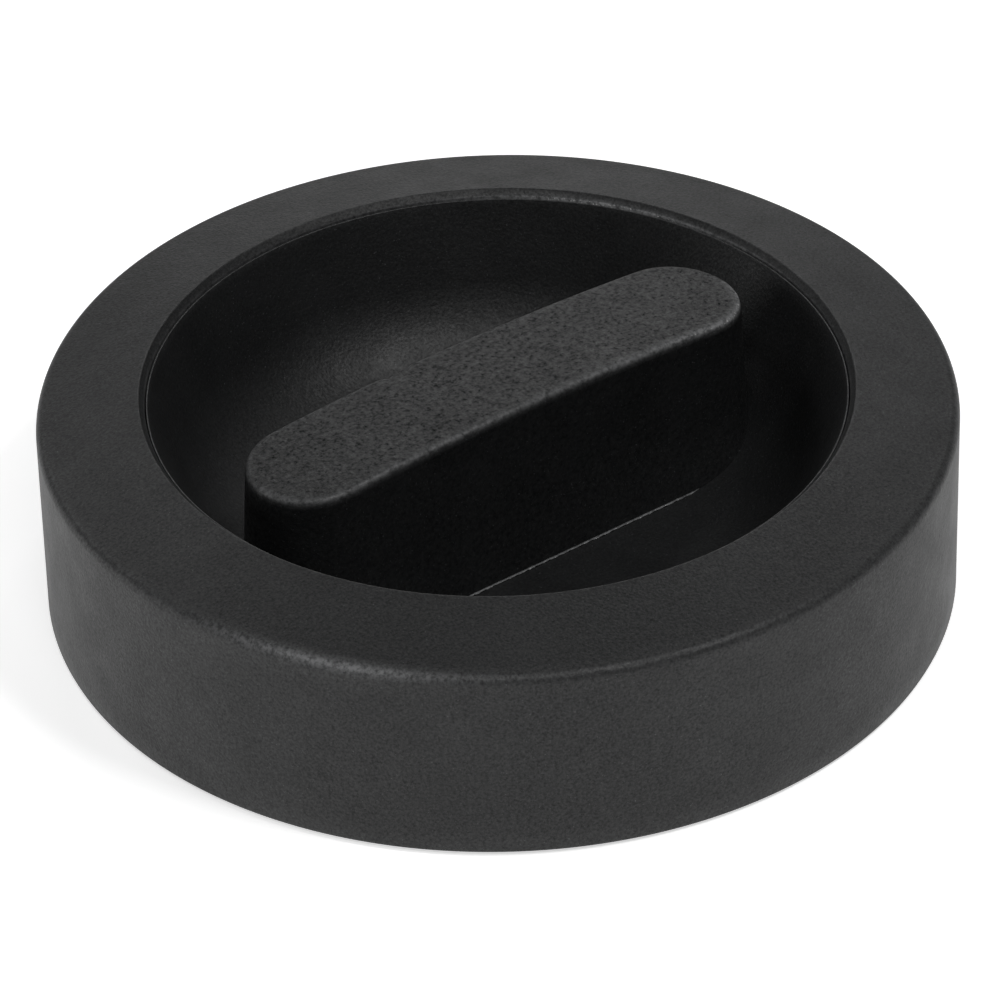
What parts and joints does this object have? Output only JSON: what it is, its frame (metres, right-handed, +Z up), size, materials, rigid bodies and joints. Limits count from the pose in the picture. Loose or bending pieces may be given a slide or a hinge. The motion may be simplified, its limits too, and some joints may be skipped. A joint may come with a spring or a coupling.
{
  "type": "desk grommet",
  "caption": "Round twist-lock desk grommet: black rim housing with a dished lift-out lid turned by a raised grip bar.",
  "frame": {"origin": "centre of the base, on the face that the grommet rests on", "axes": "+Z up along the grommet's axis, +X along the grip bar"},
  "size_m": [0.0796, 0.0796, 0.0215],
  "materials": {
    "black_grained_plastic": "black moulded plastic, fine spark-eroded grain",
    "black_plain_plastic": "black moulded plastic, smooth matt",
    "rubber": "matt black rubber",
    "brass": "turned brass",
    "zinc_steel": "zinc-plated steel",
    "spring_steel": "tempered spring steel strip"
  },
  "bodies": {
    "housing": {"rim_housing": "black_grained_plastic", "bayonet_ring": "black_plain_plastic", "base_plate": "black_plain_plastic", "base_screws": "zinc_steel", "threaded_inserts": "brass", "foot_gasket": "rubber", "detent_springs": "spring_steel"},
    "seal": {"seal_ring": "rubber"},
    "lid": {"grip_dish": "black_grained_plastic", "grip_bar": "black_grained_plastic", "bar_inserts": "brass", "bar_screws": "zinc_steel", "lock_ring": "zinc_steel", "lock_ring_screws": "zinc_steel"}
  },
  "joints": [
    {"name": "lid_lift", "type": "slide", "parent": "housing", "child": "seal", "axis": [0, 0, 1], "range_m": [0, 0.022]},
    {"name": "lid_turn", "type": "hinge", "parent": "seal", "child": "lid", "pos_m": [0, 0, 0.006], "axis": [0, 0, 1], "range_deg": [-60, 0], "deforming": ["detent_springs"]}
  ]
}
